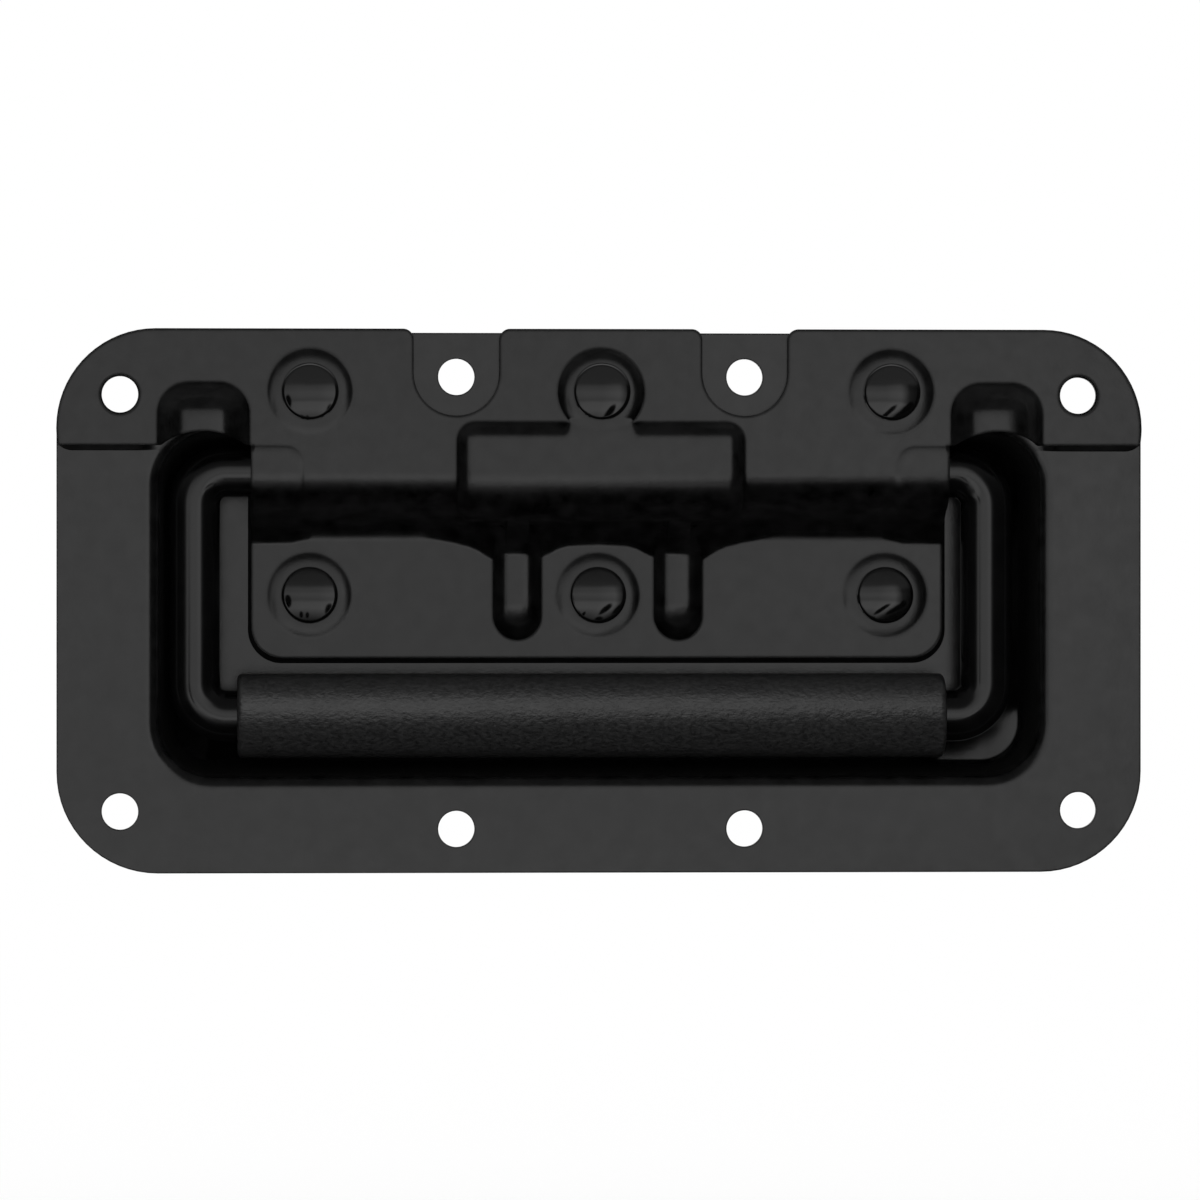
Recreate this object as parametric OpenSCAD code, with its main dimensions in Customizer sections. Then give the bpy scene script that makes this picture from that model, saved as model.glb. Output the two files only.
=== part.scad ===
// Recessed pull handle: a pressed dish let into a panel, with a sprung bail that folds flush.
// Millimetres. X runs along the handle, Y into the panel, Z up towards the hinge.
// The origin is the centre of the four corner fixing holes, on the back face of the flange.

/* [Dish] */
// width of the flange, left to right
flange_w = 167; // [150:1:200]
// height of the flange
flange_h = 83; // [80:1:110]
// corner radius of the flange
flange_r = 15.5; // [8:0.5:20]
// thickness of the sheet that the dish and the hinge plate are pressed from
sheet = 1.2; // [0.8:0.1:1.6]
// depth of the recess, from the back of the flange to its floor
recess_depth = 10; // [9:0.5:14]
// plain flange left and right of the recess
side_land = 13.5; // [10:0.5:18]
// plain flange below the recess
bottom_land = 12.7; // [10:0.1:16]
// corner radius of the recess at its lip
recess_r = 10.3; // [8:0.1:14]
// radius of the rolled lip
lip_r = 2.5; // [2:0.1:3]
// radius where the wall meets the floor
floor_r = 1.5; // [1:0.1:2]
// how far the wall leans in between lip and floor
wall_run = 4.8; // [4.4:0.1:5.6]

/* [Fixing holes] */
// distance of the corner holes from the flange's side edges
corner_inset_x = 9.7; // [8:0.1:12]
// distance of the corner holes from the flange's upper and lower edges
corner_inset_z = 9.5; // [8:0.1:12]
// distance of the inner holes from the flange's upper and lower edges
inner_inset_z = 6.75; // [5:0.25:8]
// distance of the inner holes from the middle
inner_x = 22.2; // [20:0.1:25]
// diameter of the fixing holes in the dish
hole_d = 5.6; // [5:0.1:6]
// diameter of the corner holes in the hinge plate
plate_hole_d = 6; // [5.6:0.1:7]

/* [Bail] */
// diameter of the round bar
rod_d = 8; // [7:0.5:8.5]
// distance from the flange's side edges in to the arms' centre lines
arm_inset = 22.3; // [21:0.1:25]
// distance from the recess's lower lip up to the centre of the grip
grip_rise = 11.4; // [10:0.2:14]
// radius of the bends, at the bar's centre line
bend_r = 5; // [4.5:0.5:7]
// how far the bail has slid sideways in its play, negative to the left
bail_slide = -1.25; // [-1.5:0.05:1.5]
// gap between the bar's two ends, inside the spring housing
end_gap = 5; // [3:0.5:8]

/* [Grip] */
// outer diameter of the sleeve
grip_d = 13; // [11:0.5:13]
// length of bare bar between each arm's centre line and the sleeve
grip_bare = 6.6; // [6:0.1:10]
// rounding of the sleeve's ends
grip_round = 0.9; // [0.5:0.1:1.5]

/* [Hinge plate] */
// how far the plate stands above the flange's upper edge
plate_rise = 0.6; // [0:0.1:1]
// distance from the flange's upper edge down to the hinge axis
pivot_drop = 21.3; // [21:0.1:22.4]
// play between the bar and the roll that carries it, at the radius
running_gap = 0.08; // [0.04:0.01:0.1]
// height of the ears' lower edge above the hinge axis
ear_up = 4; // [3.8:0.1:4.6]
// radius of the ears' lower outer corners
ear_r = 2.5; // [1.5:0.1:2.5]
// distance from an arm's centre line in to the edge of the part that wraps the bar
wrap_gap = 7.45; // [7:0.05:9]
// gap between the grip and the plate's lower edge
leg_gap = 2.3; // [2:0.1:5]
// radius of the plate's two lower corners
leg_r = 5; // [3:0.5:6]
// half the width of the notches that clear the upper inner holes
notch_half = 6.6; // [6:0.1:7]
// rounding of the notches' upper corners
notch_round = 1.6; // [1:0.1:2]

/* [Pressed shapes] */
// half the width of the spring housing
housing_half = 22.1; // [20:0.1:24]
// height of the housing's upper edge above the hinge axis
housing_up = 7.5; // [7.2:0.1:7.8]
// how far the housing stands proud of the plate
housing_lift = 2.3; // [2:0.1:2.6]
// width of the raised bearing ends
flare_w = 8.25; // [7:0.05:9]
// how far the bearing ends stand proud
flare_lift = 0.6; // [0.5:0.1:0.9]
// width of the stop hoods above the arms
hood_w = 14.1; // [12:0.1:15]
// height of the hoods' upper edge above the hinge axis
hood_up = 13.6; // [13:0.1:14]
// how far the hoods stand proud
hood_lift = 3; // [2.6:0.1:3.2]
// height of the hoods' arched lower edge above the hinge axis: it stops the arms
stop_up = 6.1; // [6:0.1:7]
// distance of the two ribs from the middle
rib_x = 12.5; // [11:0.1:14]
// width of a rib
rib_w = 7.4; // [7:0.1:8]
// how far the ribs stand proud of the floor
rib_lift = 2; // [1.8:0.1:2.4]
// distance from the plate's lower edge up to the ribs' rounded ends
rib_end = 2.9; // [2:0.1:5]

/* [Rivets] */
// distance of the outer rivets in from the edge of the part that wraps the bar
rivet_inset = 9.05; // [8:0.05:12]
// distance from the flange's upper edge down to the upper row of rivets
rivet_drop = 9.1; // [8.6:0.1:9.4]
// distance from the plate's lower edge up to the lower row of rivets
rivet_up = 9.8; // [8:0.1:12]
// diameter of the domed heads
rivet_head_d = 8.8; // [8:0.1:9.4]
// height of the domed heads, their upright rim included
rivet_head_h = 1.5; // [1.2:0.1:2.2]
// height of the upright rim round the heads
rivet_rim = 0.7; // [0.4:0.1:0.8]
// diameter of the shanks
rivet_shank_d = 5; // [4:0.1:5.2]
// diameter of the pressed seats under the heads
seat_d = 13.2; // [12.6:0.1:14]
// how far the upper outer seats stand proud
seat_top_lift = 1.1; // [0.9:0.1:1.3]
// how far the lower seats stand proud
seat_low_lift = 0.7; // [0.5:0.1:0.9]

/* [Springs] */
// diameter of the spring wire
wire_d = 1.2; // [1:0.1:1.2]
// full turns in each spring
spring_turns = 5; // [4:1:5]
// play between the bar and the coils, at the radius
coil_gap = 0.15; // [0.1:0.05:0.2]

/* [Hidden] */
$fn = 64;

flange_top = flange_h / 2;
flange_left = flange_w / 2;
plate_top = flange_top + plate_rise;
corner_x = flange_left - corner_inset_x;
corner_z = flange_top - corner_inset_z;
inner_z = flange_top - inner_inset_z;

// recess outline at its lip, and the point where wall and floor meet
pivot_z = flange_top - pivot_drop;
lip_left = flange_left - side_land;
lip_top = pivot_z + rod_d / 2 + coil_gap + wire_d + 2.85;
lip_low = -flange_top + bottom_land;
lip_h = lip_top - lip_low;
lip_mid = (lip_top + lip_low) / 2;
lip_cy = lip_r - sheet;
foot_cy = recess_depth - floor_r;
wall_rise = foot_cy - lip_cy;
wall_lean = acos((lip_r + floor_r) / norm([wall_run, wall_rise])) - atan2(wall_rise, wall_run);

// hinge: the plate's flat front is tangent to the roll round the bar
rod_r = rod_d / 2;
plate_front = -2 * sheet;
roll_r = rod_r + running_gap + sheet;
pivot_y = plate_front + roll_r;
leg_y = recess_depth - sheet;
inside_y = recess_depth + 2 * sheet + 0.4;
roll_foot_r = 2.8;
housing_foot_r = 4;
foot_y = leg_y - roll_foot_r;
foot_z = pivot_z - 10.8;
roll_lean = asin((roll_r + roll_foot_r) / norm([foot_y - pivot_y, pivot_z - foot_z]))
    + atan2(foot_y - pivot_y, pivot_z - foot_z);
band_r = flange_r - 0.3;

// shoulder radii of the pressed shapes
housing_s = 2.5;
housing_corner = 2.8;
flare_s = 1.4;
flare_corner = 3;
hood_s = 4.4;
hood_corner = 4.8;
rib_s = rib_lift;
seat_run = 2.1;
nest_s = 1.5;
rib_foot_r = 5;
arch_r = 11.1;
rib_half = rib_w / 2;
web_in_r = 2.6;
web_out_r = 3.2;
web_z = pivot_z - roll_r - housing_lift - housing_foot_r;
bail_half = flange_left - arm_inset;
grip_z = lip_low + grip_rise;
arm_len = pivot_z - grip_z;
wrap_half = bail_half - wrap_gap;
flare_x = wrap_half - flare_w;
hood_x = bail_half - 0.2;
ear_z = pivot_z + ear_up;
housing_top = pivot_z + housing_up;
hood_top = pivot_z + hood_up;
hood_edge = pivot_z + stop_up;
leg_z = grip_z + grip_d / 2 + leg_gap;
rib_z = leg_z + rib_end;
rivet_x = wrap_half - rivet_inset;
rivet_top_z = flange_top - rivet_drop;
rivet_low_z = leg_z + rivet_up;

// nested seats in the dish, and the rivets that sit in them
nest_d = seat_d - 2.2 * sheet - 0.06;
tail_r = nest_d / 2 - sheet - 0.35;
rivet_hole_d = rivet_shank_d + 0.2;

// bail and grip
grip_half = bail_half - grip_bare;
grip_play = 0.05;
slot_w = wire_d + 0.2;
slot_deep = wire_d + 0.6;

// springs
coil_r = rod_r + coil_gap + wire_d / 2;
wire_sides = 8;
wire_leg_y = recess_depth - wire_d / 2 - 0.2 - pivot_y;
wire_leg_z = rib_z + rib_half + rib_s - pivot_z;
wire_bend_z = -roll_r - housing_lift + sheet + 0.4;
coil_start = 8;

// width of a shoulder, seen from the front, to a hundredth
function shoulder_w(lift, s) = round(100 * sqrt(s * s - pow(max(0, s - lift), 2))) / 100;

// shoulder radius of a rivet seat that rises by lift over the seats' common run
function seat_round(lift) = min(4.2, (seat_run * seat_run + lift * lift) / (2 * lift));

// Flat rectangle with four round corners, centred.
module round_rect(w, h, r) {
    union() {
        square([w - 2 * r, h], center = true);
        square([w, h - 2 * r], center = true);
        for (sx = [-1, 1])
            for (sz = [-1, 1])
                translate([sx * (w / 2 - r), sz * (h / 2 - r)])
                    circle(r);
    }
}

// Stands a shape drawn in X and Z up as a slab from y0 to y1.
module slab(y0, y1) {
    translate([0, y1, 0])
        rotate([90, 0, 0])
            linear_extrude(y1 - y0)
                children();
}

// Runs a profile drawn in Y and Z along X.
module along_x(x0, x1) {
    translate([x0, 0, 0])
        rotate([90, 0, 90])
            linear_extrude(x1 - x0)
                children();
}

// Round hole or pin along Y.
module round_y(x, z, d, y0, y1) {
    translate([x, y1, z])
        rotate([90, 0, 0])
            cylinder(d = d, h = y1 - y0);
}

// Space in front of the dish wall, seen in section from the lip's start inwards.
// off moves its edge back: 0 gives the wall's front, the sheet thickness gives its back.
module wall_space(off) {
    n = [cos(wall_lean), -sin(wall_lean)];
    c1 = [0, lip_cy];
    c2 = [wall_run, foot_cy];
    front = -sheet - 1;
    union() {
        difference() {
            polygon([c1, [0, front], [wall_run, front], c2, c2 - (floor_r + off) * n, c1 + (lip_r - off) * n]);
            translate(c1)
                circle(lip_r - off);
        }
        intersection() {
            translate(c2)
                circle(floor_r + off);
            translate([wall_run - lip_r - floor_r, foot_cy - floor_r])
                square([lip_r + floor_r, 3 * floor_r + off]);
        }
    }
}

// The same space from the lip's start to the middle of a round corner or to the other wall.
module pocket_half(off, w) {
    union() {
        wall_space(off);
        translate([wall_run - 0.5, -sheet - 1])
            square([w - wall_run + 0.5, sheet + 1 + recess_depth + off]);
    }
}

// Space of the whole recess, edge to edge, seen in section across its width w.
module pocket_section(off, w) {
    for (side = [0, 1])
        mirror([side, 0])
            translate([-w / 2, 0])
                pocket_half(off, w / 2 + 0.5);
}

// Space of the recess: two crossing runs and four round corners.
module pocket(off) {
    flat_x = 2 * (lip_left - recess_r);
    flat_z = lip_h - 2 * recess_r;
    translate([0, 0, lip_mid])
        union() {
            translate([0, 0, -flat_z / 2])
                linear_extrude(flat_z)
                    pocket_section(off, 2 * lip_left);
            rotate([0, 90, 0])
                translate([0, 0, -flat_x / 2])
                    linear_extrude(flat_x)
                        pocket_section(off, lip_h);
            for (turn = [0:3]) {
                sx = turn == 0 || turn == 3 ? 1 : -1;
                sz = turn < 2 ? 1 : -1;
                translate([sx * flat_x / 2, 0, sz * flat_z / 2])
                    rotate([-90, -90 * (turn + 1), 0])
                        rotate_extrude(angle = 90)
                            pocket_corner(off);
            }
        }
}

// Half of a round corner's section, from its own axis out to the lip.
module pocket_corner(off) {
    translate([recess_r, 0])
        mirror([1, 0])
            pocket_half(off, recess_r);
}

// Half of a raised shape's section: plateau, round shoulder and the block below it.
module half_section(w2, v_top, s, off) {
    intersection() {
        union() {
            square([max(w2, 0.01), v_top - off]);
            square([w2 + s - off, v_top - s]);
            translate([w2, v_top - s])
                circle(s - off);
        }
        square([w2 + s + 1, v_top + 1]);
    }
}

// Whole section of a raised shape from foot u0 to foot u1.
module section(u0, u1, v_top, lift, s, off) {
    sw = shoulder_w(lift, s);
    union() {
        translate([u0 + sw, 0])
            square([u1 - u0 - 2 * sw, v_top - off]);
        translate([u0 + sw - s + off, 0])
            square([u1 - u0 - 2 * sw + 2 * (s - off), v_top - s]);
        translate([u0 + sw, v_top - s])
            circle(s - off);
        translate([u1 - sw, v_top - s])
            circle(s - off);
    }
}

// Raised shape on the plate's flat front, from the hinge axis up to a rounded top.
module raised_front(x0, x1, z_top, corner, lift, s, off) {
    sw = shoulder_w(lift, s);
    v_top = roll_r + lift;
    translate([0, pivot_y, z_top - corner])
        rotate([180, 0, 0])
            linear_extrude(z_top - corner - pivot_z)
                section(x0, x1, v_top, lift, s, off);
    translate([x0 + corner, pivot_y, z_top - corner])
        rotate([0, -90, 180])
            linear_extrude(x1 - x0 - 2 * corner)
                half_section(corner - sw, v_top, s, off);
    translate([x1 - corner, pivot_y, z_top - corner])
        rotate([90, 0, 0])
            rotate_extrude(angle = 90)
                half_section(corner - sw, v_top, s, off);
    translate([x0 + corner, pivot_y, z_top - corner])
        rotate([90, -90, 0])
            rotate_extrude(angle = 90)
                half_section(corner - sw, v_top, s, off);
}

// Raised shape that wraps the bar and runs straight back below it.
module raised_wrap(x0, x1, lift, s, off) {
    v_top = roll_r + lift;
    translate([0, pivot_y, pivot_z])
        rotate([0, 90, 180])
            rotate_extrude(angle = 90)
                rotate(-90)
                    section(x0, x1, v_top, lift, s, off);
    translate([0, pivot_y, pivot_z])
        rotate([-90, 0, 0])
            linear_extrude(inside_y - pivot_y)
                section(x0, x1, v_top, lift, s, off);
}

// Hollow foot between a raised wrap and the floor leg.
module wrap_foot(x0, x1, lift, s, foot_r, off) {
    v_top = roll_r + lift;
    centre_y = leg_y - foot_r;
    centre_z = pivot_z - v_top - foot_r;
    intersection() {
        along_x(x0 - 1, x1 + 1)
            difference() {
                translate([centre_y, centre_z])
                    square([foot_r + off + 0.5, foot_r + off + 0.5]);
                translate([centre_y, centre_z])
                    circle(foot_r + off);
            }
        translate([0, pivot_y, pivot_z])
            rotate([-90, 0, 0])
                linear_extrude(inside_y - pivot_y)
                    section(x0, x1, v_top + foot_r + off, lift, s, off);
    }
}

// Profile of the plain plate: flat front, roll round the bar, leaning underside, foot and floor leg.
module plain_profile(off, y_back) {
    n = [-cos(roll_lean), -sin(roll_lean)];
    axis = [pivot_y, pivot_z];
    foot = [foot_y, foot_z];
    v_top = roll_r - off;
    roll_end = axis + v_top * n;
    foot_start = foot - (roll_foot_r + off) * n;
    union() {
        translate([plate_front + off, pivot_z])
            square([y_back - plate_front - off, plate_top - pivot_z + 4]);
        intersection() {
            translate(axis)
                circle(v_top);
            translate([pivot_y - roll_r, pivot_z - roll_r])
                square([roll_r, roll_r]);
        }
        polygon([axis, roll_end, foot_start, [y_back, foot_start[1] - 1], [y_back, pivot_z + 1], axis + [0, 1]]);
        difference() {
            polygon([foot, foot_start, [y_back, foot_start[1]], [y_back, foot_z]]);
            translate(foot)
                circle(roll_foot_r + off);
        }
        translate([leg_y + off, leg_z - 4])
            square([y_back - leg_y - off, foot_z - leg_z + 4]);
    }
}

// Raised rib on the floor leg that hides a spring leg.
module rib(x, off) {
    v_top = inside_y - leg_y + rib_lift;
    end_z = rib_z + rib_half;
    translate([x, inside_y, pivot_z])
        rotate([180, 0, 0])
            linear_extrude(pivot_z - end_z)
                section(-rib_half, rib_half, v_top, rib_lift, rib_s, off);
    translate([x, inside_y, end_z])
        rotate([90, 180, 0])
            rotate_extrude(angle = 180)
                half_section(rib_half - shoulder_w(rib_lift, rib_s), v_top, rib_s, off);
}

// Hollow foot between a rib's flat top and the housing.
module rib_foot(x, off) {
    centre_y = leg_y - rib_lift - rib_foot_r;
    centre_z = pivot_z - roll_r - housing_lift - rib_foot_r;
    half = rib_half - rib_s - off;
    along_x(x - half, x + half)
        difference() {
            translate([centre_y, centre_z])
                square([rib_foot_r + off + 0.5, rib_foot_r + off + 0.5]);
            translate([centre_y, centre_z])
                circle(rib_foot_r + off);
        }
}

// Hollow corner between a rib and the housing's foot. turn picks the quarter.
module web(x, r, turn, off) {
    v_top = inside_y - leg_y + rib_lift;
    translate([x, inside_y, web_z - r])
        rotate([90, -turn, 0])
            rotate_extrude(angle = 90)
                difference() {
                    translate([r, 1])
                        square([housing_foot_r + 0.5, v_top - off - 1]);
                    translate([r, inside_y - leg_y + housing_foot_r])
                        circle(housing_foot_r + off);
                }
}

// Round raised seat of a rivet. base_y is the face that it rises from.
module seat(x, z, base_y, d, lift, deep, off) {
    s = seat_round(lift);
    translate([x, base_y + deep, z])
        rotate([90, 0, 0])
            rotate_extrude()
                half_section(d / 2 - shoulder_w(lift, s), deep + lift, s, off);
}

// All of the space behind one face of the plate: off is 0 for its front and the sheet for its back.
module plate_bulk(off) {
    union() {
        along_x(-flange_left - 2, flange_left + 2)
            plain_profile(off, inside_y + (off > 0 ? 2 : 0));
        raised_front(-housing_half, housing_half, housing_top, housing_corner, housing_lift, housing_s, off);
        raised_wrap(-housing_half, housing_half, housing_lift, housing_s, off);
        wrap_foot(-housing_half, housing_half, housing_lift, housing_s, housing_foot_r, off);
        for (side = [-1, 1]) {
            flare0 = side > 0 ? flare_x : -wrap_half - 6;
            flare1 = side > 0 ? wrap_half + 6 : -flare_x;
            raised_front(flare0, flare1, ear_z, flare_corner, flare_lift, flare_s, off);
            raised_wrap(flare0, flare1, flare_lift, flare_s, off);
            hood_mid = side * hood_x;
            hood_half = hood_w / 2;
            raised_front(hood_mid - hood_half, hood_mid + hood_half, hood_top, hood_corner, hood_lift, hood_s, off);
            rib(side * rib_x, off);
            rib_foot(side * rib_x, off);
            web(side * (rib_x - rib_half - web_in_r), web_in_r, side > 0 ? 0 : 90, off);
            web(side * (rib_x + rib_half + web_out_r), web_out_r, side > 0 ? 90 : 0, off);
            seat(side * rivet_x, rivet_top_z, plate_front, seat_d, seat_top_lift, 4, off);
            seat(side * rivet_x, rivet_low_z, leg_y, seat_d, seat_low_lift, 4, off);
        }
        seat(0, rivet_top_z, plate_front, seat_d, housing_lift, 4, off);
        seat(0, rivet_low_z, leg_y, seat_d, seat_low_lift, 4, off);
    }
}

// Outline of the hinge plate, seen from the front.
module plate_outline() {
    difference() {
        union() {
            difference() {
                union() {
                    translate([-flange_left + band_r, ear_z])
                        square([flange_w - 2 * band_r, plate_top - ear_z]);
                    translate([-flange_left + ear_r, ear_z])
                        square([flange_w - 2 * ear_r, plate_top - band_r - ear_z]);
                    translate([-flange_left, ear_z + ear_r])
                        square([flange_w, plate_top - band_r - ear_z - ear_r]);
                    for (side = [-1, 1]) {
                        translate([side * (flange_left - band_r), plate_top - band_r])
                            circle(band_r);
                        translate([side * (flange_left - ear_r), ear_z + ear_r])
                            circle(ear_r);
                    }
                    translate([-wrap_half, 0])
                        square([2 * wrap_half, ear_z]);
                }
                for (side = [-1, 1])
                    intersection() {
                        translate([side * hood_x, hood_edge - arch_r])
                            circle(arch_r);
                        translate([side > 0 ? wrap_half : -flange_left, 0])
                            square([flange_left - wrap_half, plate_top]);
                    }
                translate([wrap_half, 0])
                    square([flange_left, ear_z]);
                translate([-wrap_half - flange_left, 0])
                    square([flange_left, ear_z]);
            }
            translate([-wrap_half, leg_z + leg_r])
                square([2 * wrap_half, -leg_z]);
            translate([-wrap_half + leg_r, leg_z])
                square([2 * (wrap_half - leg_r), leg_r + 1]);
            for (side = [-1, 1])
                translate([side * (wrap_half - leg_r), leg_z + leg_r])
                    circle(leg_r);
        }
        for (side = [-1, 1])
            translate([side * inner_x, 0]) {
                notch_z = inner_z + plate_rise;
                translate([0, notch_z])
                    circle(notch_half);
                translate([-notch_half, notch_z])
                    square([2 * notch_half, flange_top]);
                for (edge = [-1, 1])
                    translate([edge * (notch_half + notch_round / 2), plate_top - notch_round / 2])
                        difference() {
                            square([notch_round + 0.001, notch_round + 0.001], center = true);
                            translate([edge * notch_round / 2, -notch_round / 2])
                                circle(notch_round);
                        }
            }
    }
}

// Places one child at each rivet, with the face that its seat rises from.
module at_rivets(base_top, base_low) {
    for (x = [-rivet_x, rivet_x])
        translate([x, base_top - seat_top_lift, rivet_top_z])
            children();
    translate([0, base_top - housing_lift, rivet_top_z])
        children();
    for (x = [-rivet_x, 0, rivet_x])
        translate([x, base_low - seat_low_lift, rivet_low_z])
            children();
}

module dish() {
    color([0.05, 0.05, 0.05])
        difference() {
            union() {
                difference() {
                    union() {
                        slab(-sheet, 0)
                            round_rect(flange_w, flange_h, flange_r);
                        pocket(sheet);
                    }
                    pocket(0);
                    for (x = [-rivet_x, 0, rivet_x]) {
                        round_y(x, rivet_top_z, nest_d - 2 * sheet, -2 * sheet, sheet);
                        round_y(x, rivet_low_z, nest_d - 2 * sheet, leg_y, recess_depth + 2 * sheet);
                    }
                }
                for (x = [-rivet_x, rivet_x])
                    nest(x, rivet_top_z, -sheet, seat_top_lift);
                nest(0, rivet_top_z, -sheet, housing_lift);
                for (x = [-rivet_x, 0, rivet_x])
                    nest(x, rivet_low_z, recess_depth, seat_low_lift);
            }
            for (x = [-corner_x, corner_x])
                for (z = [-corner_z, corner_z])
                    round_y(x, z, hole_d, -2 * sheet, sheet);
            for (x = [-inner_x, inner_x])
                for (z = [-inner_z, inner_z])
                    round_y(x, z, hole_d, -2 * sheet, sheet);
            for (x = [-rivet_x, 0, rivet_x])
                for (z = [rivet_top_z, rivet_low_z])
                    round_y(x, z, rivet_hole_d, plate_front - housing_lift - sheet, recess_depth + 2 * sheet);
        }
}

// Pressed seat in the dish that nests in the hinge plate's seat.
module nest(x, z, base_y, lift) {
    w2 = nest_d / 2 - shoulder_w(lift, nest_s);
    difference() {
        translate([x, base_y + sheet, z])
            rotate([90, 0, 0])
                rotate_extrude()
                    half_section(w2, sheet + lift, nest_s, 0);
        translate([x, base_y + sheet + 1, z])
            rotate([90, 0, 0])
                rotate_extrude()
                    half_section(w2, sheet + 1 + lift, nest_s, sheet);
    }
}

module hinge_plate() {
    color([0.06, 0.06, 0.06])
        difference() {
            intersection() {
                slab(plate_front - hood_lift - sheet, inside_y + sheet)
                    plate_outline();
                plate_bulk(0);
            }
            plate_bulk(sheet);
            for (x = [-corner_x, corner_x])
                round_y(x, corner_z, plate_hole_d, plate_front - 1, 1);
            for (x = [-rivet_x, 0, rivet_x])
                for (z = [rivet_top_z, rivet_low_z])
                    round_y(x, z, rivet_hole_d, plate_front - housing_lift - sheet, inside_y);
        }
}

// Domed head, shank and the formed tail, drawn with the head's underside at the origin.
module rivet() {
    cap_h = rivet_head_h - rivet_rim;
    dome_r = (pow(rivet_head_d / 2, 2) + pow(cap_h, 2)) / (2 * cap_h);
    stack = 2 * sheet;
    rotate([90, 0, 0]) {
        intersection() {
            translate([0, 0, rivet_head_h - dome_r])
                sphere(dome_r);
            cylinder(d = rivet_head_d, h = rivet_head_h + 1);
        }
        translate([0, 0, -stack - 0.9])
            cylinder(r = tail_r, h = 0.9);
        translate([0, 0, -stack - 0.5])
            cylinder(d = rivet_shank_d, h = stack + 1);
    }
}

module rivets() {
    color([0.03, 0.03, 0.03])
        at_rivets(plate_front, leg_y)
            rivet();
}

// One half of the bail, right of its middle, with the hinge axis along X through the origin.
module bail_half_bar() {
    straight_top = bail_half - bend_r - end_gap / 2;
    translate([end_gap / 2, 0, 0])
        rotate([0, 90, 0])
            cylinder(r = rod_r, h = straight_top);
    translate([bail_half - bend_r, 0, -bend_r])
        rotate([90, 0, 0])
            rotate_extrude(angle = 90)
                translate([bend_r, 0])
                    circle(rod_r);
    translate([bail_half, 0, -arm_len + bend_r])
        cylinder(r = rod_r, h = arm_len - 2 * bend_r);
    translate([bail_half - bend_r, 0, -arm_len + bend_r])
        rotate([90, 90, 0])
            rotate_extrude(angle = 90)
                translate([bend_r, 0])
                    circle(rod_r);
    translate([0, 0, -arm_len])
        rotate([0, 90, 0])
            cylinder(r = rod_r, h = bail_half - bend_r);
}

module bail() {
    color([0.04, 0.04, 0.04])
        translate([bail_slide, pivot_y, pivot_z])
            difference() {
                union() {
                    bail_half_bar();
                    mirror([1, 0, 0])
                        bail_half_bar();
                }
                translate([-end_gap / 2 - slot_deep, -slot_w / 2, -rod_d])
                    cube([end_gap + 2 * slot_deep, slot_w, 2 * rod_d]);
            }
}

module grip() {
    color([0.09, 0.09, 0.09])
        translate([bail_slide - grip_half, pivot_y, pivot_z - arm_len])
            rotate([0, 90, 0])
                rotate_extrude() {
                    outer = grip_d / 2;
                    inner = rod_r + grip_play;
                    translate([inner, 0])
                        square([outer - grip_round - inner, 2 * grip_half]);
                    translate([inner, grip_round])
                        square([outer - inner, 2 * grip_half - 2 * grip_round]);
                    for (h = [grip_round, 2 * grip_half - grip_round])
                        translate([outer - grip_round, h])
                            circle(grip_round);
                }
}

// Wire swept along a line of points, with flat ends.
function unit(v) = v / norm(v);
function heading(path, i) = unit(path[min(i + 1, len(path) - 1)] - path[max(i - 1, 0)]);
function ring_point(path, i, j) =
    let (t = heading(path, i), a = unit(cross(t, [1, 0, 0])), b = cross(a, t), w = 360 * (j + 0.5) / wire_sides)
    path[i] + wire_d / 2 * (cos(w) * a + sin(w) * b);

module wire(path) {
    last = len(path) - 1;
    points = [for (i = [0:last]) for (j = [0:wire_sides - 1]) ring_point(path, i, j)];
    skin = [
        for (i = [0:last - 1])
            for (j = [0:wire_sides - 1])
                let (k = (j + 1) % wire_sides, a = i * wire_sides)
                    [a + j, a + wire_sides + j, a + wire_sides + k, a + k]
    ];
    cap0 = [for (j = [0:wire_sides - 1]) j];
    cap1 = [for (j = [wire_sides - 1:-1:0]) last * wire_sides + j];
    polyhedron(points = points, faces = concat([cap0], skin, [cap1]), convexity = 8);
}

// Torsion spring right of the middle: a leg in the rib, coils round the bar, and a tang in the bar's slot.
module spring(slide) {
    tang_x = slide + (end_gap + slot_deep) / 2;
    sweep = 360 * spring_turns + 90 + coil_start;
    steps = ceil(sweep / 22.5);
    coil = [
        for (i = [0:steps])
            let (a = coil_start - sweep * i / steps, r = coil_r)
                [rib_x - (rib_x - tang_x) * i / steps, r * cos(a), r * sin(a)]
    ];
    leg = [[rib_x, wire_leg_y, wire_leg_z], [rib_x, wire_leg_y, wire_bend_z]];
    tang = [[tang_x, 0, -rod_r / 4]];
    translate([0, pivot_y, pivot_z])
        wire(concat(leg, coil, tang));
}

module spring_right() {
    color([0.6, 0.6, 0.62])
        spring(bail_slide);
}

module spring_left() {
    color([0.6, 0.6, 0.62])
        mirror([1, 0, 0])
            spring(-bail_slide);
}

dish();
hinge_plate();
rivets();
bail();
grip();
spring_left();
spring_right();
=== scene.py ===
import math

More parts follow.
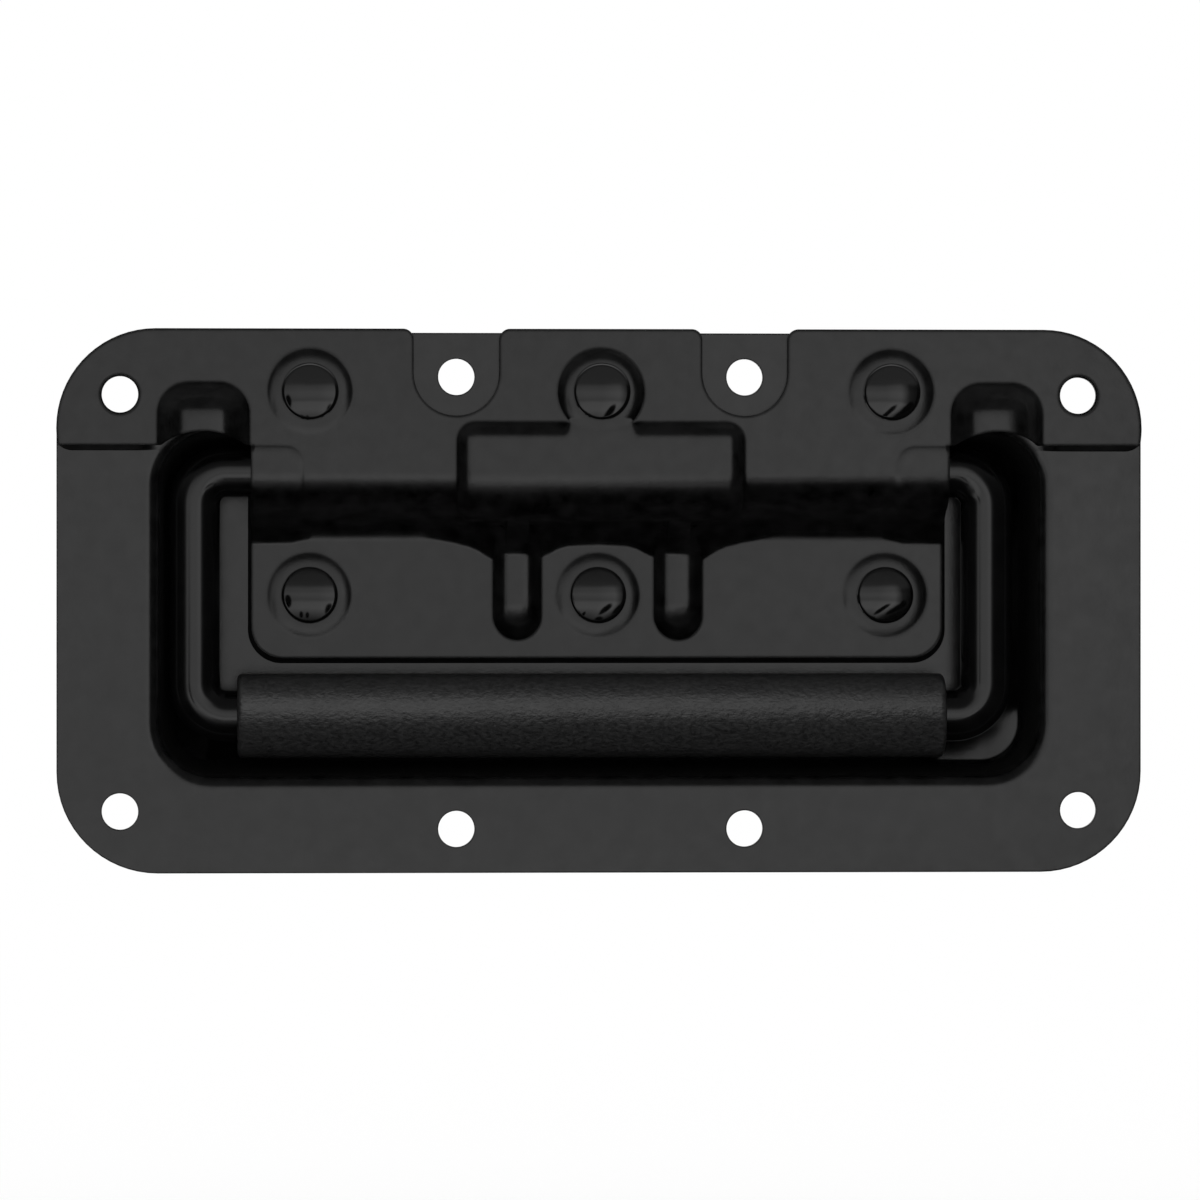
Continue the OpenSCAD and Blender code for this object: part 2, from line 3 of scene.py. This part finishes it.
import bpy
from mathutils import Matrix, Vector


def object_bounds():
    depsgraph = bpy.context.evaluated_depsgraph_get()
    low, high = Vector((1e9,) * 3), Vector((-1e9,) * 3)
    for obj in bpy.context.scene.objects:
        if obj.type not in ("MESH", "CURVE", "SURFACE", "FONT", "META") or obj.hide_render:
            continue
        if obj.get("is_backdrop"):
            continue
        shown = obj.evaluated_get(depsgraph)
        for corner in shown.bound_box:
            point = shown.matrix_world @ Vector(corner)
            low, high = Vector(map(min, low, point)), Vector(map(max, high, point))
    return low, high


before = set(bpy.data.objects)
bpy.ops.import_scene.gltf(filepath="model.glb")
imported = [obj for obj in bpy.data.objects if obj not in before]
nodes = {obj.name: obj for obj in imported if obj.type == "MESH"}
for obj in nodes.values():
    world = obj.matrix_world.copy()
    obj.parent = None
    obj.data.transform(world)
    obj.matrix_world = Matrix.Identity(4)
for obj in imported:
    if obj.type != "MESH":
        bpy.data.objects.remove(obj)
cad_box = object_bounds()
scene = bpy.context.scene


def as_lists(box):
    return [[float(v) for v in corner] for corner in box]


# Sums in a material's nodes

NOISE_LOW, NOISE_HIGH = 0.3, 0.7
RAMP_TOP = 2.0


def fill(slot, value):
    """Link slot to value where a node makes it, and set it to value otherwise."""
    if isinstance(value, Made):
        value.tree.links.new(value.socket, slot)
    else:
        slot.default_value = value


def vector_node(tree, kind, first, second=None, scale=None):
    node = tree.nodes.new("ShaderNodeVectorMath")
    node.operation = kind
    fill(node.inputs[0], first)
    if second is not None:
        fill(node.inputs[1], second)
    if scale is not None:
        fill(node.inputs["Scale"], scale)
    return node


class Made:
    """What a node in a material gives."""

    def __init__(self, tree, socket):
        self.tree = tree
        self.socket = socket


class Number(Made):
    """A number that nodes make. Each sum with it adds a maths node."""

    def maths(self, kind, *values):
        node = self.tree.nodes.new("ShaderNodeMath")
        node.operation = kind
        for slot, value in zip(node.inputs, values):
            fill(slot, value)
        return Number(self.tree, node.outputs["Value"])

    def __add__(self, other):
        return self.maths("ADD", self, other)

    def __sub__(self, other):
        return self.maths("SUBTRACT", self, other)

    def __rsub__(self, other):
        return self.maths("SUBTRACT", other, self)

    def __mul__(self, other):
        return self.maths("MULTIPLY", self, other)

    def __truediv__(self, other):
        return self.maths("DIVIDE", self, other)

    def __pow__(self, other):
        return self.maths("POWER", self, other)

    def __abs__(self):
        return self.maths("ABSOLUTE", self)

    def __round__(self):
        return self.maths("ROUND", self)

    def root(self):
        return self.maths("SQRT", self)

    def sign(self):
        return self.maths("SIGN", self)

    def over(self, limit):
        """One above limit and nothing below it."""
        return self.maths("GREATER_THAN", self, limit)

    def larger(self, other):
        return self.maths("MAXIMUM", self, other)

    def smaller(self, other):
        return self.maths("MINIMUM", self, other)

    def degrees_from(self, other):
        """Angle whose tangent is this number over other."""
        return self.maths("ARCTAN2", self, other) * math.degrees(1)

    def along(self, direction):
        """direction, as long as this number makes it."""
        return Arrow(self.tree, vector_node(self.tree, "SCALE", direction, scale=self).outputs["Vector"])

    def mapped(self, low, high, at_low=0.0, at_high=1.0, kind="LINEAR"):
        node = self.tree.nodes.new("ShaderNodeMapRange")
        node.interpolation_type = kind
        node.inputs["From Min"].default_value = low
        node.inputs["From Max"].default_value = high
        node.inputs["To Min"].default_value = at_low
        node.inputs["To Max"].default_value = at_high
        fill(node.inputs["Value"], self)
        return Number(self.tree, node.outputs["Result"])

    def spread(self, low, high):
        """A noise's usual range carried to low and high."""
        return self.mapped(NOISE_LOW, NOISE_HIGH, low, high)

    def smooth(self, start, end, at_start=0.0, at_end=1.0):
        """A soft step from at_start to at_end. start may be above end."""
        if start < end:
            return self.mapped(start, end, at_start, at_end, "SMOOTHSTEP")
        return self.mapped(end, start, at_end, at_start, "SMOOTHSTEP")

    def band(self, low, high, soft):
        """One between low and high, falling to nothing over soft."""
        return self.smooth(low - soft, low) * self.smooth(high + soft, high)

    def ramp(self, stops):
        """Level on straight lines between stops, (place, level) pairs with levels up to RAMP_TOP."""
        low, high = stops[0][0], stops[-1][0]
        curve = self.tree.nodes.new("ShaderNodeFloatCurve")
        points = curve.mapping.curves[0].points
        while len(points) < len(stops):
            points.new(0.5, 0.5)
        for point, (at, level) in zip(points, stops):
            point.location = ((at - low) / (high - low), level / RAMP_TOP)
            point.handle_type = "VECTOR"
        curve.mapping.update()
        fill(curve.inputs["Value"], self.mapped(low, high))
        return Number(self.tree, curve.outputs["Value"]) * RAMP_TOP

    def mixed(self, dark, light):
        """Colour between dark and light."""
        node = self.tree.nodes.new("ShaderNodeMix")
        node.data_type = "RGBA"
        node.inputs["A"].default_value = (*dark, 1)
        node.inputs["B"].default_value = (*light, 1)
        fill(node.inputs["Factor"], self)
        return Made(self.tree, node.outputs["Result"])

    def bump(self, strength, distance, below=None):
        """Normal of a surface with this number as its height, laid over the normal below."""
        node = self.tree.nodes.new("ShaderNodeBump")
        node.inputs["Strength"].default_value = strength
        node.inputs["Distance"].default_value = distance
        fill(node.inputs["Height"], self)
        if below is not None:
            fill(node.inputs["Normal"], below)
        return Arrow(self.tree, node.outputs["Normal"])


class Arrow(Made):
    """A place or direction that nodes make."""

    def __add__(self, other):
        return Arrow(self.tree, vector_node(self.tree, "ADD", self, other).outputs["Vector"])

    def unit(self):
        return Arrow(self.tree, vector_node(self.tree, "NORMALIZE", self).outputs["Vector"])

    def length(self):
        return Number(self.tree, vector_node(self.tree, "LENGTH", self).outputs["Value"])

    def distance(self, place):
        return Number(self.tree, vector_node(self.tree, "DISTANCE", self, place).outputs["Value"])

    def leaned(self, goal, weight):
        """Drawn towards goal by weight."""
        return (1.0 - weight).along(self) + weight.along(goal)

    def parts(self):
        split = self.tree.nodes.new("ShaderNodeSeparateXYZ")
        fill(split.inputs["Vector"], self)
        return [Number(self.tree, split.outputs[axis]) for axis in "XYZ"]

    def turned(self, source, target):
        """A direction carried from one frame to the other, WORLD or OBJECT."""
        node = self.tree.nodes.new("ShaderNodeVectorTransform")
        node.vector_type = "NORMAL"
        node.convert_from = source
        node.convert_to = target
        fill(node.inputs["Vector"], self)
        return Arrow(self.tree, node.outputs["Vector"])

    def stretched(self, scale):
        node = self.tree.nodes.new("ShaderNodeMapping")
        node.inputs["Scale"].default_value = scale
        fill(node.inputs["Vector"], self)
        return Arrow(self.tree, node.outputs["Vector"])

    def noise(self, scale, detail, rough):
        node = self.tree.nodes.new("ShaderNodeTexNoise")
        node.inputs["Scale"].default_value = scale
        node.inputs["Detail"].default_value = detail
        node.inputs["Roughness"].default_value = rough
        fill(node.inputs["Vector"], self)
        return Number(self.tree, node.outputs["Fac"])


def joined(x, y, z):
    """Arrow with the parts x, y and z, of which z or y is made by a node."""
    tree = (z if isinstance(z, Made) else y).tree
    node = tree.nodes.new("ShaderNodeCombineXYZ")
    for axis, value in zip("XYZ", (x, y, z)):
        fill(node.inputs[axis], value)
    return Arrow(tree, node.outputs["Vector"])


def object_place(tree):
    """The shaded point in its object's own frame."""
    return Arrow(tree, tree.nodes.new("ShaderNodeTexCoord").outputs["Object"])


def face_normal(tree):
    """The mesh's own normal, in object space."""
    node = tree.nodes.new("ShaderNodeNewGeometry")
    return Arrow(tree, node.outputs["Normal"]).turned("WORLD", "OBJECT")


def soft_edges(tree, radius):
    """Normals rounded over the sheet's cut edges, in object space."""
    node = tree.nodes.new("ShaderNodeBevel")
    node.samples = 6
    node.inputs["Radius"].default_value = radius
    return Arrow(tree, node.outputs["Normal"]).turned("WORLD", "OBJECT")


# Directions, and places on the part in metres. Those across are measured out from its middle

FRONT = (0.0, -1.0, 0.0)
DOWN = (0.0, -0.25, -0.97)
RIVET_X, RIVET_TOP, RIVET_LOW = 0.0447, 0.0324, 0.0012
BETWEEN_ROWS = (RIVET_TOP + RIVET_LOW) / 2
ROWS_APART = RIVET_TOP - RIVET_LOW
FLOOR_DEPTH = 0.0112
PLATE_EDGE = 0.0008
DISH_EDGE = 0.0004

# Rivet seats: place across, height and how flat they look. Their lower halves look flatter still
SEATS = [(RIVET_X, RIVET_TOP, 0.45), (RIVET_X, RIVET_LOW, 0.3), (0.0, RIVET_TOP, 0.2), (0.0, RIVET_LOW, 0.3)]
SEAT_LOW_SHARE = 0.3
NECK_SHARE = 0.9

# Fades give the place where a shape begins and where it is whole
SEAT_FADE = (0.0071, 0.0067)
SEAT_LOW_FADE = (0.0010, -0.0050)
NECK_FADE = (0.0060, 0.0044)
FOOT_FADE = (-0.0011, 0.0013)
FOOT_TOP_FADE = (0.0150, 0.0135)
FOOT_HOUSING_FADE = (0.0275, 0.0255)
FOOT_END_FADE = (0.0440, 0.0450)
BEARING_TOP_FADE = (0.0205, 0.0214)

# Bands give low, high and the softness of both ends
NECK_BAND = (0.0248, 0.0280, 0.0010)
BEARING_ACROSS = (0.0445, 0.0530, 0.0004)
BEARING_UP = (0.0120, 0.0246, 0.0004)
BEARING_KEPT = 0.25

# The stop hoods: where they are, and how they round off to their sides and top
HOOD_X = 0.061
HOOD_ACROSS_FADE = (0.0535, 0.0540)
HOOD_UP_FADE = (0.0235, 0.0240)
HOOD_RAISED_FADE = (-0.0025, -0.0034)
HOOD_SIDE_FADE = (0.0002, 0.0060)
HOOD_TOP_FADE = (0.0276, 0.0328)
HOOD_SIDE_LEAN = 0.42
HOOD_TOP_LEAN = 0.46

# The ribs, in the same way
RIB_X = 0.0125
RIB_ACROSS_FADE = (0.0042, 0.0039)
RIB_UP_FADE = (0.0095, 0.0080)
RIB_RAISED_FADE = (0.0085, 0.0072)
RIB_SIDE_FADE = (0.0, 0.0036)
RIB_END_FADE = (0.0010, -0.0040)
RIB_SIDE_LEAN = 0.42
RIB_END_LEAN = -0.5

# Least forward part of a normal for its sideways part, so that it mirrors the tent and nothing past it
LEAST_FORWARD = 1.12
FORWARD_FADE = (0.1, -0.05)

# Height (mm) at which the floor leg meets the housing's dark underside, by distance (mm) from the middle
FOOT_LINE = [
    (0, 9.6), (4.5, 9.3), (6, 8.8), (7.5, 8.0), (8.8, 7.4), (9.5, 8.0), (15.5, 8.0), (16.3, 7.1),
    (17.1, 7.5), (18.5, 8.4), (20.2, 9.2), (23.3, 9.9), (26, 10.6), (44.5, 10.6), (47.5, 9.7), (54, 9.6),
]

# The recess: where its floor stops being flat, and how its foot curves up. Its middle lies a little low
FLOOR_HALF_WIDTH = 0.0597
FLOOR_HALF_HEIGHT = 0.0183
RECESS_DROP = 0.0002
CURVE_BEGIN_FADE = (0.0004, 0.0022)
CURVE_END_FADE = (0.0075, 0.0062)
CURVE_LEAN = -1.1
LIT_ACROSS_FADE = (0.0490, 0.0545)
LIT_UP_FADE = (-0.0120, -0.0185)
LIT_KEPT = 0.17
FLOOR_BAND = (0.0090, 0.0104, 0.0005)

# Lower edges of the plate, under which the dish is in shadow: half width, height and corner radius
LEG_EDGE = (0.0540, -0.0091, 0.005)
EAR_EDGE = (0.0840, 0.0236, 0.003)
SHADOW_FADE = (0.0003, 0.00005)
EAR_ACROSS_FADE = (0.0665, 0.0725)
ON_FLANGE_FADE = (-0.0006, -0.0010)


# Normals that the coats show

def flatness(out, z):
    """How flat the plate looks in the rivets' seats and on the neck above the housing."""
    place = joined(out, 0.0, z)
    neck = out.smooth(*NECK_FADE) * z.band(*NECK_BAND)
    weight = neck * NECK_SHARE
    for seat_x, seat_z, share in SEATS:
        low_half = (z - seat_z).smooth(*SEAT_LOW_FADE) * SEAT_LOW_SHARE
        weight = weight.larger(place.distance((seat_x, 0.0, seat_z)).smooth(*SEAT_FADE) * (low_half + share))
    return weight


def underside(out, z):
    """Where the plate turns down between the floor leg and the bar."""
    # Millimetres along the ramp and centimetres up it, since its levels only go up to RAMP_TOP
    foot = (out * 1000.0).ramp([(at, high / 10) for at, high in FOOT_LINE]) * 0.01
    wide = out.smooth(*FOOT_HOUSING_FADE).larger(out.smooth(*FOOT_END_FADE))
    return (z - foot).smooth(*FOOT_FADE) * wide * z.smooth(*FOOT_TOP_FADE)


def side_lean(x, across, fade, lean):
    """Lean that grows away from a raised shape's middle line, mirrored left and right."""
    return across.sign() * x.sign() * (abs(across).smooth(*fade) * lean)


def hood_lean(x, y, z):
    """What rounding off a stop hood adds to the normal, across and up."""
    out = abs(x)
    across = out - HOOD_X
    here = out.smooth(*HOOD_ACROSS_FADE) * z.smooth(*HOOD_UP_FADE) * y.smooth(*HOOD_RAISED_FADE)
    side = side_lean(x, across, HOOD_SIDE_FADE, HOOD_SIDE_LEAN)
    return here * side, here * (z.smooth(*HOOD_TOP_FADE) * HOOD_TOP_LEAN)


def rib_lean(x, y, z):
    """What rounding off a rib adds to the normal, across and up."""
    across = abs(x) - RIB_X
    here = abs(across).smooth(*RIB_ACROSS_FADE) * y.smooth(*RIB_RAISED_FADE) * z.smooth(*RIB_UP_FADE)
    side = side_lean(x, across, RIB_SIDE_FADE, RIB_SIDE_LEAN)
    return here * side, here * (z.smooth(*RIB_END_FADE) * RIB_END_LEAN)


def plate_normal(coord):
    """The pressing's own soft shapes: shallow seats, faint bearing ends, round hoods and ribs, and a foot
    that runs out."""
    x, y, z = coord.parts()
    out = abs(x)
    normal = soft_edges(coord.tree, PLATE_EDGE).leaned(FRONT, flatness(out, z))
    normal = normal.leaned(DOWN, underside(out, z))
    nx, ny, nz = normal.parts()
    bearing = out.band(*BEARING_ACROSS) * z.band(*BEARING_UP)
    nx = nx * bearing.smooth(0.0, 1.0, 1.0, BEARING_KEPT)
    nz = nz * (bearing * z.smooth(*BEARING_TOP_FADE)).smooth(0.0, 1.0, 1.0, BEARING_KEPT)
    hood_x, hood_z = hood_lean(x, y, z)
    rib_x, rib_z = rib_lean(x, y, z)
    nx = nx + (hood_x + rib_x)
    nz = nz + (hood_z + rib_z)
    gentle = ny.smaller(joined(nx, 0.0, nz).length() * -LEAST_FORWARD)
    forward = ny.smooth(*FORWARD_FADE)
    return joined(nx, gentle * forward + ny * (1.0 - forward), nz)


def distance_out(out, z, half_width, low_edge, radius):
    """How far a point is outside a sheet with these edges and a rounded lower corner."""
    past_side = (out - (half_width - radius)).larger(0.0)
    past_low = ((low_edge + radius) - z).larger(0.0)
    return joined(past_side, 0.0, past_low).length() - radius


def dish_normal(coord):
    """The floor of the recess curves up before it meets the wall, and turns away under the plate's edges."""
    x, y, z = coord.parts()
    out = abs(x)
    past_side = (out - FLOOR_HALF_WIDTH).larger(0.0)
    past_end = (abs(z + RECESS_DROP) - FLOOR_HALF_HEIGHT).larger(0.0)
    away = joined(past_side, 0.0, past_end).length()
    lit_corner = x.smooth(*LIT_ACROSS_FADE) * z.smooth(*LIT_UP_FADE)
    lift = away.smooth(*CURVE_BEGIN_FADE) * away.smooth(*CURVE_END_FADE)
    lift = lift * lit_corner.smooth(0.0, 1.0, 1.0, LIT_KEPT)
    outward = joined(past_side * x.sign(), 0.0, past_end * z.sign()).unit()
    on_floor = y.band(*FLOOR_BAND)
    normal = soft_edges(coord.tree, DISH_EDGE) + on_floor.along((lift * CURVE_LEAN).along(outward))
    by_leg = distance_out(out, z, *LEG_EDGE).smooth(*SHADOW_FADE) * on_floor
    by_ear = distance_out(out, z, *EAR_EDGE).smooth(*SHADOW_FADE) * out.smooth(*EAR_ACROSS_FADE)
    return normal.leaned(DOWN, by_leg.larger(by_ear * y.smooth(*ON_FLANGE_FADE)))


# Materials

STEEP_FADE = (0.3, 0.7)
STEEP_ROUGH = 0.4
SLEEVE_LEAN = (0.0, 0.0, -0.25)

# The rivets' domes: how their normals curve, where their rims are and where their upper parts get a painted
# highlight
DOME_FRONT = -0.96
DOME_UP_R = 0.0140
DOME_TOP_R = 0.0125
DOME_LEFT_R, DOME_RIGHT_R = 0.0165, 0.0205
DOME_MIDDLE_FADE = (-0.001, 0.001)
HEAD_FRONT_FADE = (0.0090, 0.0087)
RIM_FADE = (0.00425, 0.0043)
RIM_CURVE_FADE = (0.0038, 0.0043)
RIM_CURVE = 170.0
# Painted highlight: where the lighter colour on the domes' upper parts begins and ends
PAINTED_LIGHT_UP_FADE = (0.0006, 0.0016)
PAINTED_LIGHT_AWAY_FADE = (0.0045, 0.0036)


def new_material(name):
    mat = bpy.data.materials.new(name)
    mat.use_nodes = True
    return mat, mat.node_tree.nodes["Principled BSDF"], object_place(mat.node_tree)


def powder_coat(name, shape, specular):
    """Black powder coat, rougher where it turns away. shape gives its broad normals in object space."""
    mat, shader, coord = new_material(name)
    fine = coord.noise(2600, 2.5, 0.6)
    soft = coord.noise(420, 2.0, 0.5)
    broad = coord.noise(380, 4.0, 0.6)
    colour = broad.spread(0, 1).mixed((0.0, 0.0, 0.0), (0.0046, 0.0046, 0.0047))
    fill(shader.inputs["Base Color"], colour)
    local = shape(coord).unit()
    facing = local.parts()[1] * -1.0
    fill(shader.inputs["Roughness"], soft.spread(0.19, 0.24) + facing.smooth(*STEEP_FADE, STEEP_ROUGH, 0.0))
    low = soft.bump(0.3, 0.00006, local.turned("OBJECT", "WORLD"))
    fill(shader.inputs["Normal"], fine.bump(0.45, 0.00003, low))
    shader.inputs["Specular IOR Level"].default_value = specular
    return mat


def gloss_coat():
    """The bail's smoother black coat."""
    mat, shader, coord = new_material("gloss_coat")
    soft = coord.noise(300, 2.0, 0.5)
    fine = coord.noise(1800, 2.0, 0.5)
    colour = soft.spread(0, 1).mixed((0.001, 0.001, 0.0011), (0.002, 0.002, 0.0021))
    fill(shader.inputs["Base Color"], colour)
    fill(shader.inputs["Roughness"], fine.spread(0.13, 0.18))
    fill(shader.inputs["Normal"], soft.bump(0.2, 0.00005))
    shader.inputs["Specular IOR Level"].default_value = 0.5
    return mat


def sleeve():
    """Grained rubber, whose normals lean down a little."""
    mat, shader, coord = new_material("sleeve")
    grain = coord.stretched((0.6, 1.0, 1.0)).noise(2100, 1.5, 0.6)
    soft = coord.noise(260, 3.0, 0.5)
    colour = grain.spread(0, 1).mixed((0.006, 0.006, 0.0062), (0.018, 0.018, 0.0182))
    fill(shader.inputs["Base Color"], colour)
    fill(shader.inputs["Roughness"], soft.spread(0.36, 0.44))
    lean = face_normal(coord.tree) + SLEEVE_LEAN
    fill(shader.inputs["Normal"], grain.bump(1.0, 0.0001, lean.unit().turned("OBJECT", "WORLD")))
    shader.inputs["Specular IOR Level"].default_value = 0.74
    return mat


def rivet_coat():
    """Gloss black on domes, shaped by the place round each rivet's middle, with a painted highlight that
    lightens the upper part.
    """
    mat, shader, coord = new_material("rivet_coat")
    dents = coord.noise(300, 1.5, 0.5)
    fill(shader.inputs["Roughness"], dents.spread(0.05, 0.08))
    x, y, z = coord.parts()
    in_top_row = z.over(BETWEEN_ROWS)
    dx = x - round(x / RIVET_X) * RIVET_X
    dz = z - (in_top_row * ROWS_APART + RIVET_LOW)
    from_middle = joined(dx, 0.0, dz)
    away = from_middle.length()
    # Painted highlight: the upper part of each dome gets a lighter base colour, standing in for light
    # falling from above
    painted_top_light = dz.smooth(*PAINTED_LIGHT_UP_FADE) * away.smooth(*PAINTED_LIGHT_AWAY_FADE)
    colour = painted_top_light.mixed((0.0015, 0.0015, 0.0015), (0.013, 0.013, 0.013))
    fill(shader.inputs["Base Color"], colour)
    across = dx / dx.smooth(*DOME_MIDDLE_FADE, DOME_LEFT_R, DOME_RIGHT_R)
    dome = joined(across, DOME_FRONT, dz / DOME_UP_R + dz.larger(0.0) / DOME_TOP_R)
    dome = dome + (away.smooth(*RIM_CURVE_FADE) * RIM_CURVE).along(from_middle)
    depth = y + in_top_row * FLOOR_DEPTH
    on_head = depth.smooth(*HEAD_FRONT_FADE) * (1.0 - away.smooth(*RIM_FADE))
    local = face_normal(coord.tree).leaned(dome.unit(), on_head)
    fill(shader.inputs["Normal"], dents.bump(0.25, 0.0001, local.unit().turned("OBJECT", "WORLD")))
    shader.inputs["Specular IOR Level"].default_value = 0.5
    return mat


def spring_wire():
    """Bright steel wire, faintly mottled."""
    mat, shader, coord = new_material("spring_wire")
    mottle = coord.noise(900, 2.0, 0.5)
    colour = mottle.spread(0, 1).mixed((0.35, 0.35, 0.36), (0.5, 0.5, 0.51))
    fill(shader.inputs["Base Color"], colour)
    fill(shader.inputs["Roughness"], mottle.spread(0.25, 0.38))
    shader.inputs["Metallic"].default_value = 1.0
    return mat


looks = {
    "dish": powder_coat("dish_coat", dish_normal, 0.55),
    "hinge_plate": powder_coat("plate_coat", plate_normal, 0.5),
    "rivets": rivet_coat(),
    "bail": gloss_coat(),
    "grip": sleeve(),
    "spring_left": spring_wire(),
}
looks["spring_right"] = looks["spring_left"]
for name, mat in looks.items():
    obj = nodes[name]
    obj.data.materials.clear()
    obj.data.materials.append(mat)


# Floor and background: white by their own colour under a plain white world

FLOOR_SIZE = 40.0
FLOOR_Z = -0.112


def mesh_object(name, points, faces, place):
    mesh = bpy.data.meshes.new(name)
    mesh.from_pydata(points, [], faces)
    obj = bpy.data.objects.new(name, mesh)
    obj.location = place
    scene.collection.objects.link(obj)
    return obj


def pale_floor():
    h = FLOOR_SIZE / 2
    corners = [(-h, -h, 0), (h, -h, 0), (h, h, 0), (-h, h, 0)]
    obj = mesh_object("floor", corners, [(0, 1, 2, 3)], (0, 0, FLOOR_Z))
    obj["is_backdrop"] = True
    mat = bpy.data.materials.new("pale_floor")
    mat.use_nodes = True
    shader = mat.node_tree.nodes["Principled BSDF"]
    shader.inputs["Base Color"].default_value = (1.0, 1.0, 1.0, 1)
    shader.inputs["Roughness"].default_value = 1.0
    shader.inputs["Specular IOR Level"].default_value = 0.0
    obj.data.materials.append(mat)


def white_world():
    world = bpy.data.worlds.new("studio")
    scene.world = world
    world.use_nodes = True
    ambient = world.node_tree.nodes["Background"]
    ambient.inputs["Color"].default_value = (1, 1, 1, 1)
    ambient.inputs["Strength"].default_value = 1.0


pale_floor()
white_world()


# The studio in front of the object, seen in its gloss alone: a wide soft window in a dark tent

# The tent's size, in metres. Its bottom clears the floor
TENT_CENTRE = (-0.05, -0.012, 0.0)
TENT_R = 0.5
TENT_BOTTOM = -0.094
TENT_ROWS, TENT_COLUMNS = 36, 48
SKIRT = 0.045
BOTTOM_DEPTH = 0.05

# Light by degrees to the side and up from the tent's centre
SIDE_STOPS = [
    (-90, 0.01), (-50, 0.02), (-41, 0.15), (-34, 0.85), (-10, 1.0), (0, 1.0),
    (9, 1.0), (17, 1.14), (25, 1.26), (32, 0.2), (40, 0.02), (90, 0.01),
]
UP_STOPS = [
    (-90, 0.0), (-60, 0.01), (-46, 0.08), (-36, 0.25), (-27, 0.7), (-18, 1.25), (-10, 1.2), (-6, 0.79),
    (0, 1.0), (4, 1.0), (10, 0.85), (19, 0.7), (24, 0.35), (29, 0.05), (40, 0.0), (90, 0.0),
]
SKY_STOPS = [(-90, 0.0), (0, 0.0), (20, 0.04), (28, 0.1), (60, 0.09), (90, 0.06)]

# Dark things in front of the window: degrees to the side, degrees up, half width and half height
SHADES = [
    (-24, -8, 3.5, 9), (21, -19, 3.5, 8), (33, -15, 4, 9),
    (-9, -28, 2.5, 5), (-1, -29, 2.2, 5), (24, -33, 5, 4),
]
SHADE_FADE = (0.8, 1.2)


def tent_mesh():
    """Front half of a sphere round the object, flattened at the bottom, with a skirt at its sides and a
    plate at its bottom that run on past its centre."""
    points, faces = [], []
    row = TENT_COLUMNS + 1
    for i in range(TENT_ROWS + 1):
        up = math.radians(-90 + 180 * i / TENT_ROWS)
        reach = TENT_R if TENT_R * math.sin(up) > TENT_BOTTOM else TENT_BOTTOM / math.sin(up)
        for j in range(row):
            side = math.radians(-90 + 180 * j / TENT_COLUMNS)
            across = reach * math.cos(up)
            points.append((across * math.sin(side), -across * math.cos(side), reach * math.sin(up)))
    for i in range(TENT_ROWS):
        for a in range(i * row, i * row + TENT_COLUMNS):
            faces.append((a, a + row, a + row + 1, a + 1))
    skirt = len(points)
    for i in range(TENT_ROWS + 1):
        for j in (0, TENT_COLUMNS):
            x, y, z = points[i * row + j]
            points.append((x, y + SKIRT, z))
    for i in range(TENT_ROWS):
        for k, j in ((0, 0), (1, TENT_COLUMNS)):
            a = i * row + j
            b = skirt + 2 * i + k
            faces.append((a, a + row, b + 2, b))
    a = len(points)
    for x, y in ((-TENT_R, 0.0), (TENT_R, 0.0), (TENT_R, BOTTOM_DEPTH), (-TENT_R, BOTTOM_DEPTH)):
        points.append((x, y, TENT_BOTTOM))
    faces.append((a, a + 1, a + 2, a + 3))
    return points, faces


def studio_light():
    """Light of the tent by direction from its centre."""
    mat = bpy.data.materials.new("studio_light")
    mat.use_nodes = True
    tree = mat.node_tree
    tree.nodes.clear()
    x, y, z = object_place(tree).parts()
    side = x.degrees_from(y * -1.0)
    up = z.degrees_from((x ** 2.0 + y ** 2.0).root())
    light = side.ramp(SIDE_STOPS) * up.ramp(UP_STOPS)
    for at_side, at_up, wide, high in SHADES:
        off = joined((side - at_side) / wide, (up - at_up) / high, 0.0)
        light = light * off.length().smooth(*SHADE_FADE)
    shine = tree.nodes.new("ShaderNodeEmission")
    fill(shine.inputs["Strength"], light + up.ramp(SKY_STOPS))
    out = tree.nodes.new("ShaderNodeOutputMaterial")
    tree.links.new(shine.outputs["Emission"], out.inputs["Surface"])
    return mat


def studio_tent():
    points, faces = tent_mesh()
    obj = mesh_object("studio_tent", points, faces, TENT_CENTRE)
    obj.visible_camera = False
    obj.visible_diffuse = False
    obj.visible_shadow = False
    obj.visible_transmission = False
    obj.visible_volume_scatter = False
    obj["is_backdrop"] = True
    obj.data.materials.append(studio_light())


studio_tent()


# Camera

AIM = Vector((-0.0001, -0.0012, 0.00045))
AWAY = 1.06
YAW = math.radians(2.8)
cam = bpy.data.cameras.new("camera")
cam.lens = 206.7
cam.sensor_width = 36.0
cam.clip_start = 0.05
cam.clip_end = 50.0
camera = bpy.data.objects.new("camera", cam)
camera.location = AIM + AWAY * Vector((-math.sin(YAW), -math.cos(YAW), 0.0))
camera.rotation_euler = (AIM - camera.location).to_track_quat("-Z", "Y").to_euler()
scene.collection.objects.link(camera)
scene.camera = camera

scene.view_settings.view_transform = "Standard"

bpy.context.view_layer.update()
{"cad": as_lists(cad_box), "visual": as_lists(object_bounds())}
